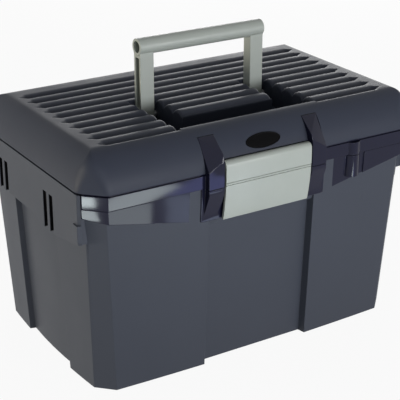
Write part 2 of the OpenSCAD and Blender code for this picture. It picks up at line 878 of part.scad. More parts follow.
// Latch flap with its barrel, foot lip and double line
module latch_flap() {
    foot_z = latch_pin_z - latch_h;
    knee_z = latch_pin_z - latch_h * flap_knee_share;
    front = latch_pin_y + barrel_r;
    foot = front - flap_foot_in;
    color("#b4bab4") difference() {
        union() {
            rod(-latch_w / 2, latch_w / 2, -latch_pin_y, latch_pin_z, barrel_r);
            along_x(-latch_w / 2, latch_w / 2, [
                [-front, latch_pin_z],
                [-front - flap_bulge, knee_z],
                [-foot, foot_z],
                [-flap_lip_y, foot_z],
                [-flap_lip_y, foot_z + flap_lip_h],
                [flap_t - foot, foot_z + 2 * flap_lip_h],
                [flap_t - front - flap_bulge, knee_z],
                [flap_t - front, latch_pin_z]]);
        }
        rod(-latch_w / 2 - over, latch_w / 2 + over, -latch_pin_y, latch_pin_z,
            latch_pin_d / 2 + pin_clear);
        for (side = [-1, 1])
            rod(-latch_w / 2 - over, latch_w / 2 + over, -front - flap_bulge,
                latch_pin_z - latch_h * line_share + side * line_pitch / 2, line_r);
    }
}

tub();
hinge_pin_left();
hinge_pin_right();
lift_out_tray();
tray_divider_left();
tray_divider_right();
lid_frame();
lid_cover();
badge_plate();
latch_pin();
handle_pin_left();
handle_pin_right();
carry_handle();
latch_flap();
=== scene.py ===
"""Horse grooming box: moulded tub and ribbed lid, polished rim, silver latch and handle.

All sizes in the classes are millimetres in the frame of the solids: +Z up, the latch faces -Y.
"""

import logging
import math
from dataclasses import dataclass
from enum import Enum
from typing import Iterable, Optional, Sequence

import bmesh
import bpy
from mathutils import Euler, Matrix, Vector


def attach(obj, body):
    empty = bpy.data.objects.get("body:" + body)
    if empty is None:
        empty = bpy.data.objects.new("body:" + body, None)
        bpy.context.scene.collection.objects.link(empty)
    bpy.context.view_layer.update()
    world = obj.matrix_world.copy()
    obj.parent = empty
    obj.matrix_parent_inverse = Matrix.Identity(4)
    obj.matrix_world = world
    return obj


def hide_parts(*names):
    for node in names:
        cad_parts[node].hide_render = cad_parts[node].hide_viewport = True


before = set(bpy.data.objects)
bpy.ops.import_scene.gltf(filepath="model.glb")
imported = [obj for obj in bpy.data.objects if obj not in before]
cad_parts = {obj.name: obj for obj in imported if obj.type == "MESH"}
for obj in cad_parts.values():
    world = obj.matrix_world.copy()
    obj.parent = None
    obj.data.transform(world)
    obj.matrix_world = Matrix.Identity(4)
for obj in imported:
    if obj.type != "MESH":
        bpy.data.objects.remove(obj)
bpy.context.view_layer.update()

MM = 0.001
LOG = logging.getLogger("grooming_box")

# Rounded copies: points this near are one, slivers this thin go, and a plane cuts this exactly.
MERGE_MM = 0.005
SLIVER_MM = 0.004
ON_PLANE_MM = 0.002
# Rounded copies: degrees up to which faces count as flat, from which edges are rounded, and up to
# which they are shaded smooth.
FLAT_ANGLE = 0.4
EDGE_ANGLE = 28.0
SHADE_ANGLE = 35.0
# Most values of a noise texture lie between these.
NOISE_SPAN = (0.25, 0.75)

Point = tuple[float, float, float]
Flat = tuple[float, float]
Planes = tuple[tuple[int, float], ...]
Piece = bpy.types.Object
Material = bpy.types.Material
Tree = bpy.types.NodeTree
Socket = bpy.types.NodeSocket
Shape = bmesh.types.BMesh
Layer = bmesh.types.BMLayerItem
Row = list[bmesh.types.BMVert]


class Body(Enum):
    """Rigid bodies that pieces ride on."""

    TUB = "tub_body"
    LID = "lid"
    HANDLE = "handle"
    LATCH = "latch"


class Slot(Enum):
    """Material slots of the record."""

    TUB = "tub_plastic"
    LID = "lid_plastic"
    RIM = "rim_plastic"
    TRAY = "tray_plastic"
    BADGE = "badge_plastic"
    SILVER = "silver_plastic"


def linear(hex_colour: str) -> tuple[float, float, float, float]:
    """Turn an sRGB hex colour into linear RGBA.

    Args:
        hex_colour: Colour such as "#3c4048".

    Returns:
        Linear red, green, blue and an alpha of 1.
    """
    digits = hex_colour.lstrip("#")
    srgb = [int(digits[i : i + 2], 16) / 255 for i in (0, 2, 4)]
    rgb = [c / 12.92 if c <= 0.04045 else ((c + 0.055) / 1.055) ** 2.4 for c in srgb]
    return (rgb[0], rgb[1], rgb[2], 1.0)


def fill(tree: Tree, node: bpy.types.Node, inputs: dict[object, object]) -> None:
    """Set or link a node's inputs.

    Args:
        tree: Tree of the node.
        node: Node whose inputs are filled.
        inputs: Sockets by name or number, each a value or an output socket to link.
    """
    for key, value in inputs.items():
        if isinstance(value, Socket):
            tree.links.new(value, node.inputs[key])
        else:
            node.inputs[key].default_value = value


def add_node(
    tree: Tree,
    kind: str,
    settings: Optional[dict[str, object]] = None,
    inputs: Optional[dict[object, object]] = None,
) -> bpy.types.Node:
    """Add a node with its settings and links.

    Args:
        tree: Node tree that gets the node.
        kind: Blender's identifier of the node.
        settings: Properties of the node by name.
        inputs: Sockets by name or number, each a value or an output socket to link.

    Returns:
        The new node.
    """
    node = tree.nodes.new(kind)
    for key, value in (settings or {}).items():
        setattr(node, key, value)
    fill(tree, node, inputs or {})
    return node


@dataclass(frozen=True)
class Finish:
    """A finish, named for its material and for how the surface was made."""

    name: str
    colour: str

    def start(self) -> tuple[Material, Socket]:
        """Start a node material.

        Returns:
            The material and the socket of the piece's own coordinates.
        """
        material = bpy.data.materials.new(self.name)
        material.use_nodes = True
        return material, add_node(material.node_tree, "ShaderNodeTexCoord").outputs["Object"]


@dataclass(frozen=True)
class MouldedPlastic(Finish):
    """Injection-moulded plastic with the texture that its mould gives it.

    A matte mould leaves a fine even grain that breaks up highlights, a polished one leaves only a
    slow waviness; both show faint cloudy flow. The real grain is some tenths of a millimetre, too
    fine for the render, so it is drawn coarser.
    """

    cloud_colour: str
    roughness: float
    specular: float = 0.5
    roughness_swing: float = 0.05
    ior: float = 1.49
    grain_mm: float = 0.9
    grain_depth_mm: float = 0.03
    cloud_mm: float = 60.0

    def material(self) -> Material:
        """Build the material.

        Returns:
            A node material named for the plastic and its surface.
        """
        material, place = self.start()
        tree = material.node_tree
        noise = "ShaderNodeTexNoise"
        cloud_scale, grain_scale = 1 / (self.cloud_mm * MM), 1 / (self.grain_mm * MM)
        cloud = add_node(
            tree, noise, inputs={"Vector": place, "Scale": cloud_scale, "Detail": 3.0, "Roughness": 0.55}
        ).outputs["Fac"]
        grain = add_node(
            tree, noise, inputs={"Vector": place, "Scale": grain_scale, "Detail": 2.0, "Roughness": 0.6}
        ).outputs["Fac"]
        # Sockets 6 and 7 of the mix are its two colours, and its third output is a colour.
        colours = {0: cloud, 6: linear(self.colour), 7: linear(self.cloud_colour)}
        tint = add_node(tree, "ShaderNodeMix", {"data_type": "RGBA"}, colours)
        rough = add_node(
            tree,
            "ShaderNodeMapRange",
            inputs={
                "Value": cloud,
                "From Min": NOISE_SPAN[0],
                "From Max": NOISE_SPAN[1],
                "To Min": self.roughness - self.roughness_swing,
                "To Max": self.roughness + self.roughness_swing,
            },
        )
        depth = self.grain_depth_mm * MM
        bump = add_node(tree, "ShaderNodeBump", inputs={"Strength": 1.0, "Distance": depth, "Height": grain})
        surface = {
            "Base Color": tint.outputs[2],
            "Roughness": rough.outputs["Result"],
            "Normal": bump.outputs["Normal"],
            "IOR": self.ior,
            "Specular IOR Level": self.specular,
        }
        fill(tree, tree.nodes["Principled BSDF"], surface)
        return material


@dataclass(frozen=True)
class DrawnSteel(Finish):
    """Bright drawn steel wire of the pins: fine lines run along X."""

    roughness: float
    line_mm: float
    line_stretch: float = 50.0
    roughness_swing: float = 0.08

    def material(self) -> Material:
        """Build the material.

        Returns:
            A node material named for the drawn wire.
        """
        material, place = self.start()
        tree = material.node_tree
        stretch = (1 / self.line_stretch, 1.0, 1.0)
        along = add_node(tree, "ShaderNodeMapping", inputs={"Vector": place, "Scale": stretch})
        lines = add_node(
            tree,
            "ShaderNodeTexNoise",
            inputs={"Vector": along.outputs["Vector"], "Scale": 1 / (self.line_mm * MM), "Detail": 2.0},
        )
        rough = add_node(
            tree,
            "ShaderNodeMapRange",
            inputs={
                "Value": lines.outputs["Fac"],
                "To Min": self.roughness - self.roughness_swing,
                "To Max": self.roughness + self.roughness_swing,
            },
        )
        surface = {
            "Base Color": linear(self.colour),
            "Roughness": rough.outputs["Result"],
            "Metallic": 1.0,
        }
        fill(tree, tree.nodes["Principled BSDF"], surface)
        return material


class Finishes:
    """Every finish of the box, each made once."""

    def __init__(self) -> None:
        """Build the materials."""
        # Slate polypropylene from a spark-eroded mould: matte, with soft broad highlights.
        self.tub = MouldedPlastic(
            "slate_polypropylene_moulded_matte", "#393d46", "#3d414a", roughness=0.5, specular=0.2
        ).material()
        # The same plastic on the lid: a shade darker, with weaker highlights.
        self.lid = MouldedPlastic(
            "slate_polypropylene_lid_grain", "#2e323d", "#323641", roughness=0.48, specular=0.15
        ).material()
        # Rim from a polished mould: clear reflections, slow waves and a violet cast.
        self.rim = MouldedPlastic(
            "violet_slate_polypropylene_polished", "#161729", "#191a2e", roughness=0.07, specular=0.2,
            roughness_swing=0.02, ior=1.5, grain_mm=12.0, grain_depth_mm=0.0003, cloud_mm=70.0,
        ).material()
        # Painted shade: the bottoms and walls of the shallow skirt slots are coloured nearly black and dull,
        # to stand in for the shade deep inside them.
        self.gap = MouldedPlastic(
            "slate_polypropylene_painted_slot_shade", "#08080a", "#0a0a0c", roughness=0.8, specular=0.1,
            grain_depth_mm=0.02,
        ).material()
        # Silver-pigmented ABS of latch and handle: satin, with a finer grain than the tub.
        self.silver = MouldedPlastic(
            "silver_pigment_abs_satin", "#a0a69f", "#989e97", roughness=0.4,
            ior=1.53, grain_mm=0.7, grain_depth_mm=0.012, cloud_mm=25.0,
        ).material()
        # Grey polypropylene of the tray: plain and matte.
        self.tray = MouldedPlastic(
            "grey_polypropylene_tray", "#565a63", "#5c6069", roughness=0.45, grain_depth_mm=0.02
        ).material()
        # Black acrylic plate of the badge: dark satin with faint waves.
        self.badge = MouldedPlastic(
            "black_acrylic_plate", "#040405", "#060607", roughness=0.34, specular=0.05,
            roughness_swing=0.02, grain_mm=6.0, grain_depth_mm=0.002, cloud_mm=20.0,
        ).material()
        # Steel wire of the pins: bright, with streaks along its length.
        self.steel = DrawnSteel("bright_drawn_steel", "#c4c6c8", roughness=0.3, line_mm=0.15).material()


def new_object(name: str, data: bpy.types.ID) -> Piece:
    """Link a mesh, lamp or camera as an object at the origin.

    Args:
        name: Name of the object.
        data: Its mesh, lamp or camera.

    Returns:
        The object.
    """
    obj = bpy.data.objects.new(name, data)
    bpy.context.scene.collection.objects.link(obj)
    return obj


def piece_from(shape: Shape, name: str) -> Piece:
    """Turn a shape into an object and free the shape.

    Args:
        shape: Source, in millimetres.
        name: Name of the object and of its mesh.

    Returns:
        The object, at the origin and in metres.
    """
    mesh = bpy.data.meshes.new(name)
    bmesh.ops.scale(shape, vec=(MM, MM, MM), verts=shape.verts)
    shape.to_mesh(mesh)
    shape.free()
    return new_object(name, mesh)


def apply_modifiers(obj: Piece) -> None:
    """Turn an object's modifiers into plain mesh.

    Args:
        obj: Object whose modifiers are evaluated and then removed.
    """
    graph = bpy.context.evaluated_depsgraph_get()
    made = bpy.data.meshes.new_from_object(
        obj.evaluated_get(graph), preserve_all_data_layers=True, depsgraph=graph
    )
    obj.modifiers.clear()
    old, obj.data = obj.data, made
    made.name = old.name
    bpy.data.meshes.remove(old)


def smooth(obj: Piece, angle: float) -> None:
    """Shade smooth, with edges that turn by more degrees than the angle left sharp."""
    obj.data.shade_smooth()
    obj.data.set_sharp_from_angle(angle=math.radians(angle))


def softened_copy(node: str, name: str, radius: float, splits: Planes = (), segments: int = 3) -> Piece:
    """Copy a solid and round its edges the way a moulding's are.

    Args:
        node: CAD node that is copied.
        name: Name of the new piece.
        radius: Edge radius.
        splits: Axis and place of planes through openings, so that no flat face runs round one.
        segments: Facets across a rounded edge.

    Returns:
        The new piece, with a plain mesh.
    """
    bm = bmesh.new()
    bm.from_mesh(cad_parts[node].data)
    bmesh.ops.scale(bm, vec=(1 / MM, 1 / MM, 1 / MM), verts=bm.verts)
    bmesh.ops.remove_doubles(bm, verts=bm.verts, dist=MERGE_MM)
    bmesh.ops.dissolve_degenerate(bm, edges=bm.edges, dist=SLIVER_MM)
    for axis, place in splits:
        across = Vector([1.0 if i == axis else 0.0 for i in range(3)])
        everything = [*bm.verts, *bm.edges, *bm.faces]
        cut = bmesh.ops.bisect_plane(
            bm, geom=everything, dist=ON_PLANE_MM, plane_co=across * place, plane_no=across
        )
        for item in cut["geom_cut"]:
            if isinstance(item, bmesh.types.BMEdge):
                item.seam = True
    bmesh.ops.dissolve_limit(
        bm, angle_limit=math.radians(FLAT_ANGLE), verts=bm.verts, edges=bm.edges, delimit={"SEAM"}
    )
    obj = piece_from(bm, name)
    bevel = obj.modifiers.new("edge_radius", "BEVEL")
    bevel.width = radius * MM
    bevel.segments = segments
    bevel.limit_method = "ANGLE"
    bevel.angle_limit = math.radians(EDGE_ANGLE)
    bevel.use_clamp_overlap = False
    bevel.miter_outer = "MITER_ARC"
    apply_modifiers(obj)
    smooth(obj, SHADE_ANGLE)
    normals = obj.modifiers.new("true_flats", "WEIGHTED_NORMAL")
    normals.weight = 100
    normals.keep_sharp = True
    apply_modifiers(obj)
    return obj


def prism(bm: Shape, x0: float, x1: float, profile: Sequence[Flat]) -> None:
    """Add a closed prism of a Y-Z profile along X.

    Args:
        bm: Mesh that gets the prism.
        x0: Left end.
        x1: Right end.
        profile: Corners as (y, z).
    """
    ends = [[bm.verts.new((x, y, z)) for y, z in profile] for x in (x0, x1)]
    faces = [bm.faces.new(ends[0]), bm.faces.new(list(reversed(ends[1])))]
    for i in range(len(profile)):
        j = (i + 1) % len(profile)
        faces.append(bm.faces.new((ends[0][j], ends[0][i], ends[1][i], ends[1][j])))
    bmesh.ops.recalc_face_normals(bm, faces=faces)


def circle(y: float, z: float, radius: float, count: int = 48) -> list[Flat]:
    """Points of a circle in the Y-Z plane.

    Args:
        y: Centre along Y.
        z: Centre along Z.
        radius: Radius.
        count: Number of points.

    Returns:
        Points as (y, z).
    """
    turns = (2 * math.pi * i / count for i in range(count))
    return [(y + radius * math.cos(a), z + radius * math.sin(a)) for a in turns]


def carve(obj: Piece, cutters: dict[str, Shape]) -> None:
    """Take shapes out of a piece and apply all its modifiers.

    Args:
        obj: Piece that is cut, after the modifiers that it has already.
        cutters: Closed shapes, in millimetres, by the name of the cut.
    """
    tools = [piece_from(cutter, name) for name, cutter in cutters.items()]
    for tool in tools:
        cut = obj.modifiers.new(tool.name, "BOOLEAN")
        cut.operation = "DIFFERENCE"
        cut.solver = "EXACT"
        cut.object = tool
    apply_modifiers(obj)
    for tool in tools:
        bpy.data.objects.remove(tool)


def finish_piece(obj: Piece, material: Material, body: Body, replaced: str) -> None:
    """Give a piece its material and body, and hide the CAD node that it stands for.

    Args:
        obj: Finished piece at the origin.
        material: Material of its first slot.
        body: Body that it rides on.
        replaced: CAD node that it stands for.
    """
    if not obj.data.materials:
        obj.data.materials.append(material)
    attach(obj, body.value)
    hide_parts(replaced)
    LOG.info("%s: %d faces", obj.name, len(obj.data.polygons))


def repaint(node: str, material: Material) -> None:
    """Give a CAD node that stays a better material.

    Args:
        node: CAD node.
        material: Its new material.
    """
    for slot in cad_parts[node].material_slots:
        slot.material = material
    LOG.info("%s: kept solid", node)


@dataclass
class SubAssembly:
    """A group of pieces and the finishes that it is dressed in."""

    finishes: Finishes


@dataclass
class Tub(SubAssembly):
    """Tub with its polished rim band, skirts and hinge knuckles."""

    edge_radius: float = 0.5
    splits: Planes = ((0, 0.0), (1, 0.0), (1, 80.0), (1, -80.0))
    half_l: float = 200.0
    part_z: float = 204.0
    draft: float = 0.05
    band_half_w: float = 128.7
    band_sum: float = 306.7
    band_end_h: float = 9.0
    band_mid_h: float = 36.0
    ear_in: float = 53.0
    ear_out: float = 71.0
    upright_h: float = 43.0
    skirt_t: float = 3.0
    slot_mouth: float = 0.9
    slot_depth: float = 5.0
    slot_low: float = 157.0
    slot_high: float = 198.3
    slot_places: tuple[float, ...] = (-49.75, -36.25, 58.25, 71.75)
    slot_w: float = 8.0
    lug_x: float = 112.0
    lug_r: float = 9.0
    lug_h: float = 25.0
    # How far the middle of a face may lie off an outline and still belong to it.
    slack: float = 0.1
    low_slack: float = 0.7
    side_slack: float = 0.5
    # Depth of the skin behind the front, the corner facets, the uprights and the lug.
    front_skin: float = 2.4
    facet_skin: float = 1.0
    upright_skin: float = 1.5
    lug_skin: float = 1.0
    # A face whose outward share along X is below this is the back of the skirt.
    turned_in: float = -0.5

    def build(self) -> None:
        """Make and dress the tub."""
        finishes = self.finishes
        tub = softened_copy("tub", "tub_moulding", self.edge_radius, self.splits)
        paints = [finishes.tub, finishes.rim, finishes.gap]
        for paint in paints:
            tub.data.materials.append(paint)
        for face in tub.data.polygons:
            spot = face.center / MM
            outward = face.normal.x * math.copysign(1.0, spot.x)
            # Faces in the skirt slots get the near-black painted shade, the polished parts get the rim
            # finish.
            if outward > self.turned_in and self._in_slot(spot):
                face.material_index = paints.index(finishes.gap)
            elif self._is_polished(spot):
                face.material_index = paints.index(finishes.rim)
        finish_piece(tub, finishes.tub, Body.TUB, "tub")
        for node in ("hinge_pin_left", "hinge_pin_right"):
            repaint(node, finishes.steel)

    def _is_polished(self, spot: Vector) -> bool:
        """Tell whether a spot lies on the polished band, an upright or the lug.

        Args:
            spot: Middle of a face.

        Returns:
            True on the polished parts.
        """
        x, y, z = spot
        if z > self.part_z + self.slack or abs(x) > self.half_l - self.skirt_t - self.slack:
            return False
        lean = self.draft * (self.part_z - z)
        front = self.band_half_w - lean
        reach = min(max((self.half_l - abs(x)) / (self.half_l - self.ear_out), 0.0), 1.0)
        low = self.part_z - self.band_end_h - (self.band_mid_h - self.band_end_h) * reach
        on_front = abs(y) > front - self.front_skin
        on_facet = abs(x) + abs(y) > self.band_sum - 2 * lean - self.facet_skin
        if z > low - self.low_slack and (on_front or on_facet):
            return True
        if y < 0 and self.ear_in - self.side_slack < abs(x) < self.ear_out + self.side_slack:
            if z > self.part_z - self.upright_h and abs(y) > front - self.upright_skin:
                return True
        beside_lug = abs(x - self.lug_x) < self.lug_r + self.side_slack
        return beside_lug and y < -self.band_half_w + self.lug_skin and z > self.part_z - self.lug_h

    def _in_slot(self, spot: Vector) -> bool:
        """Tell whether a spot lies inside a skirt slot.

        Args:
            spot: Middle of a face.

        Returns:
            True on the bottom and the walls of a slot.
        """
        x, y, z = spot
        deep = self.slot_mouth < self.half_l - abs(x) < self.slot_depth
        if not (deep and self.slot_low < z < self.slot_high):
            return False
        return any(abs(y - place) < self.slot_w / 2 + self.slack for place in self.slot_places)


@dataclass
class Tray(SubAssembly):
    """Lift-out tray and its dividers."""

    edge_radius: float = 0.4
    edge_segments: int = 2
    splits: Planes = ((0, 0.0), (1, 0.0))

    def build(self) -> None:
        """Make and dress the tray and its dividers."""
        for node in ("lift_out_tray", "tray_divider_left", "tray_divider_right"):
            name = node + "_moulding"
            piece = softened_copy(node, name, self.edge_radius, self.splits, self.edge_segments)
            finish_piece(piece, self.finishes.tray, Body.TUB, node)


@dataclass
class GrooveRule:
    """Grooves between the deck's round-crowned ribs: a node tree that lowers the deck's points."""

    count: int = 10
    pitch: float = 18.5
    middle: float = -12.25
    depth: float = 4.5
    land: float = 2.0
    rear_half: float = 176.0
    front_half: float = 171.0
    runout: float = 9.0
    tip_rise: float = 0.5
    blend: float = 0.3
    least_share: float = 0.02
    mask: str = "deck_mask"

    def __post_init__(self) -> None:
        """Derive how low the crowns' centres lie, and their radius."""
        self.low = (self.pitch**2 / 4 + self.depth**2 - self.land**2 / 4) / (2 * self.depth)
        self.crown = math.hypot(self.low, self.land / 2)

    def lines(self) -> list[float]:
        """Places along Y where the deck's section turns.

        Returns:
            Places of the grooves' bottoms and of the crowns' edges.
        """
        edge = (self.pitch - self.land) / 2
        places = [self.middle + self.pitch * (i - (self.count - 1) / 2) for i in range(self.count)]
        return [place + aside for place in places for aside in (-edge, 0.0, edge)]

    def _sizes(self) -> dict[str, float]:
        """Sizes of the grooves by input of the tree.

        Returns:
            The number of the last groove, and lengths in metres.
        """
        lengths = ["pitch", "middle", "low", "crown", "rear_half", "front_half", "runout"]
        lengths += ["tip_rise", "blend"]
        return {"last": self.count - 1.0, **{name: getattr(self, name) * MM for name in lengths}}

    def _steps(self) -> list[tuple[str | float, ...]]:
        """Sums that give the depth of the grooves at a spot.

        Returns:
            For each sum its name, its operation and its inputs, by name or as numbers.
        """
        return [
            # Number of the nearest groove, counted from the back.
            ("half", "MULTIPLY", "last", 0.5),
            ("off", "SUBTRACT", "Y", "middle"),
            ("steps", "DIVIDE", "off", "pitch"),
            ("turned", "SUBTRACT", "half", "steps"),
            ("whole", "ROUND", "turned"),
            ("least", "MAXIMUM", "whole", 0.0),
            ("number", "MINIMUM", "least", "last"),
            # Share of the full section that is left at this place along the groove.
            ("tip", "RANGE", "number", 0.0, "last", "rear_half", "front_half"),
            ("full", "SUBTRACT", "tip", "runout"),
            ("along", "ABSOLUTE", "X"),
            ("share", "RANGE", "along", "full", "tip", 1.0, 0.0),
            ("held", "MAXIMUM", "share", self.least_share),
            # Distance of the spot from the top of the rib beside it, in the full section.
            ("aside", "SUBTRACT", "turned", "number"),
            ("apart", "ABSOLUTE", "aside"),
            ("grown", "DIVIDE", "apart", "held"),
            ("rest", "SUBTRACT", 0.5, "grown"),
            ("inside", "MAXIMUM", "rest", 0.0),
            ("across", "MULTIPLY", "inside", "pitch"),
            # Drop of the round crown there, zero on its flat land.
            ("width", "MULTIPLY", "across", "across"),
            ("square", "MULTIPLY", "crown", "crown"),
            ("under", "SUBTRACT", "square", "width"),
            ("rise", "SQRT", "under"),
            ("raw", "SUBTRACT", "low", "rise"),
            # Towards the tip the section shrinks and rises out of the deck.
            ("shrunk", "MULTIPLY", "raw", "share"),
            ("gone", "SUBTRACT", 1.0, "share"),
            ("lift", "MULTIPLY", "gone", "tip_rise"),
            ("left", "SUBTRACT", "shrunk", "lift"),
            ("soft", "SMOOTH_MAX", "left", 0.0, "blend"),
            ("masked", "MULTIPLY", "soft", "mask"),
            ("down", "MULTIPLY", "masked", -1.0),
        ]

    def _tree(self) -> Tree:
        """Build the node tree.

        Returns:
            A tree whose named inputs are the grooves' sizes.
        """
        tree = bpy.data.node_groups.new("deck_grooves", "GeometryNodeTree")
        tree.interface.new_socket("Deck", in_out="INPUT", socket_type="NodeSocketGeometry")
        for name in self._sizes():
            tree.interface.new_socket(name, in_out="INPUT", socket_type="NodeSocketFloat")
        tree.interface.new_socket("Plastic", in_out="INPUT", socket_type="NodeSocketMaterial")
        tree.interface.new_socket("Deck", in_out="OUTPUT", socket_type="NodeSocketGeometry")
        given = add_node(tree, "NodeGroupInput").outputs
        position = add_node(tree, "GeometryNodeInputPosition").outputs[0]
        spot = add_node(tree, "ShaderNodeSeparateXYZ", inputs={0: position}).outputs
        mask = add_node(tree, "GeometryNodeInputNamedAttribute", {"data_type": "FLOAT"}, {0: self.mask})
        found = {socket.name: socket for socket in (*given, *spot)}
        found["mask"] = mask.outputs[0]
        for name, operation, *inputs in self._steps():
            sockets = {i: found.get(value, value) for i, value in enumerate(inputs)}
            if operation == "RANGE":
                found[name] = add_node(tree, "ShaderNodeMapRange", inputs=sockets).outputs[0]
            else:
                setting = {"operation": operation}
                found[name] = add_node(tree, "ShaderNodeMath", setting, sockets).outputs[0]
        offset = add_node(tree, "ShaderNodeCombineXYZ", inputs={2: found["down"]}).outputs[0]
        moved = add_node(tree, "GeometryNodeSetPosition", inputs={0: given["Deck"], "Offset": offset})
        real = add_node(tree, "GeometryNodeRealizeInstances", inputs={0: moved.outputs[0]})
        plastic = {0: real.outputs[0], "Material": given["Plastic"]}
        dressed = add_node(tree, "GeometryNodeSetMaterial", inputs=plastic)
        add_node(tree, "NodeGroupOutput", inputs={0: dressed.outputs[0]})
        return tree

    def press_into(self, obj: Piece, plastic: Material) -> None:
        """Add the grooves to a cover as a modifier.

        Args:
            obj: Cover whose deck points carry the mask attribute.
            plastic: Material of the cover.
        """
        modifier = obj.modifiers.new("deck_grooves", "NODES")
        modifier.node_group = self._tree()
        values = {**self._sizes(), "Plastic": plastic}
        for item in modifier.node_group.interface.items_tree:
            if item.in_out == "INPUT" and item.name in values:
                modifier[item.identifier] = values[item.name]


@dataclass
class HandleTrench:
    """U-shaped trench in the deck that takes the folded handle."""

    inner: float = 55.0
    outer: float = 81.5
    front: float = -97.5
    island_front: float = -60.25
    back: float = 2.6
    floor_z: float = 232.4

    def distance(self, x: float, y: float, grow: float = 0.0, stretch: float = 1.0) -> float:
        """Distance of a spot on the deck from the trench.

        Args:
            x: Place along X.
            y: Place along Y.
            grow: Growth of the trench's outline on every side.
            stretch: Factor on distances along Y.

        Returns:
            Zero inside the grown trench, else the distance to its nearest edge.
        """
        ax = abs(x)
        cross = (
            max(ax - self.outer - grow, 0.0),
            stretch * max(self.front - grow - y, y - self.island_front - grow, 0.0),
        )
        leg = (
            max(self.inner - grow - ax, ax - self.outer - grow, 0.0),
            stretch * max(self.front - grow - y, y - self.back - grow, 0.0),
        )
        return min(math.hypot(*cross), math.hypot(*leg))


@dataclass
class LidCover(SubAssembly):
    """Domed cover: grooved deck, soft shoulders, corner facets that close upwards, trench."""

    half_l: float = 200.0
    half_w: float = 129.5
    rim_corner: float = 22.0
    seam_z: float = 220.0
    dome_h: float = 39.4
    front_shoulder: float = 28.0
    rear_shoulder: float = 38.0
    side_shoulder: float = 20.0
    roundness: float = 1.65
    facet_closing: float = 2.0
    # Share of a corner facet that its fillets take at the foot, its growth and its limit.
    fillet_share: float = 0.3
    fillet_growth: float = 3.0
    fillet_limit: float = 0.96
    fillet_steps: int = 6
    foot_radius: float = 0.8
    foot_middle: float = 0.3
    crest_radius: float = 21.3
    crest_in: float = 3.15
    crest_share: float = 0.35
    wall: float = 3.0
    deck_t: float = 7.5
    under_in: float = 0.5
    lip_radius: float = 3.5
    lip_crisp: float = 0.8
    lip_angles: tuple[int, ...] = (0, 22, 42, 60, 76, 90)
    wall_run: float = 0.3
    # The inner skin is thicker behind the latch barrel.
    bed_half: float = 56.0
    bed_h: float = 11.5
    bed_y: float = -119.5
    bed_from: float = -100.0
    rings: int = 22
    step_x: float = 9.0
    step_y: float = 1.1
    # Finer lines where the grooves run out.
    tip_lead: float = 2.0
    tip_step: float = 1.6
    tip_lines: int = 16
    weld: float = 0.0005
    shade_angle: float = 40.0

    def __post_init__(self) -> None:
        """Derive the deck's edges and the lines of its grid."""
        self.trench = HandleTrench()
        self.grooves = GrooveRule()
        self.deck_z = self.seam_z + self.dome_h
        self.deck_x = self.half_l - self.side_shoulder
        self.deck_front = self.front_shoulder - self.half_w
        self.deck_rear = self.half_w - self.rear_shoulder
        self.under_x = self.deck_x - self.wall
        self.under_front = self.deck_front + self.under_in
        self.under_rear = self.deck_rear - self.wall
        self.xs, self.ys = self._grid()

    def front_at(self, z: float) -> float:
        """Distance of the dome's front face from the middle, at a height."""
        h = min(max((z - self.seam_z) / self.dome_h, 0.0), 1.0)
        return self.half_w - self.front_shoulder * (1 - (1 - h**self.roundness) ** (1 / self.roundness))

    def crest_drop(self, out: float) -> float:
        """Height that the rounded crest loses this far outwards from the deck's edge."""
        run = max(out + self.crest_in, 0.0)
        return self.crest_radius - math.sqrt(self.crest_radius**2 - run**2)

    def build(self) -> None:
        """Make and dress the cover."""
        cover = piece_from(self._shape(), "lid_cover_moulding")
        self.grooves.press_into(cover, self.finishes.lid)
        seats = CoverSeats(self)
        carve(cover, {"cover_seats": seats.fittings(), "barrel_bed": seats.barrel_bed()})
        cover.data.attributes.remove(cover.data.attributes[self.grooves.mask])
        cover.data.materials.clear()
        smooth(cover, self.shade_angle)
        finish_piece(cover, self.finishes.lid, Body.LID, "lid_cover")

    def _lines(self, low: float, high: float, step: float, special: Iterable[float]) -> list[float]:
        """Grid lines with even steps between special places.

        Args:
            low: First line.
            high: Last line.
            step: Largest distance between lines.
            special: Places that need a line of their own.

        Returns:
            Rising places.
        """
        fixed = sorted({round(v, 4) for v in (low, high, *special) if low <= v <= high})
        lines = [fixed[0]]
        for a, b in zip(fixed, fixed[1:]):
            count = max(1, math.ceil((b - a) / step))
            lines += [a + (b - a) * i / count for i in range(1, count + 1)]
        return lines

    def _lip(self, edge: float, outward: int, width: float) -> list[float]:
        """Places of the lines over a rounded trench lip.

        Args:
            edge: Place of the trench wall.
            outward: Sign of the direction away from the trench.
            width: Width of the rounding.

        Returns:
            Places from the foot of the wall to the end of the rounding.
        """
        turns = (math.radians(angle) for angle in self.lip_angles)
        over = [edge + outward * width * (1 - math.sin(a)) for a in turns]
        return [edge - outward * self.wall_run, *over]

    def _grid(self) -> tuple[list[float], list[float]]:
        """Lines of the deck's grid along X and Y.

        Returns:
            Places of the X lines and of the Y lines.
        """
        trench = self.trench
        tips = self.grooves.front_half - self.grooves.runout - self.tip_lead
        half_x = [tips + self.tip_step * i for i in range(self.tip_lines)]
        scale_x = self.deck_x / self.under_x
        for edge, sign in ((trench.inner, -1), (trench.outer, 1)):
            half_x += self._lip(edge, sign, self.lip_radius)
            under = edge + sign * self.wall
            half_x += [under * scale_x, (under - sign * self.wall_run) * scale_x]
        special_x = [s * v for v in half_x for s in (-1, 1)]
        special_y = self.grooves.lines()
        scale_y = (self.deck_rear - self.deck_front) / (self.under_rear - self.under_front)
        for edge, sign in ((trench.front, -1), (trench.island_front, 1), (trench.back, 1)):
            special_y += self._lip(edge, sign, self.lip_crisp)
            under = edge + sign * self.wall
            for place in (under, under - sign * self.wall_run):
                special_y.append(self.deck_front + (place - self.under_front) * scale_y)
        return (
            self._lines(-self.deck_x, self.deck_x, self.step_x, special_x),
            self._lines(self.deck_front, self.deck_rear, self.step_y, special_y),
        )

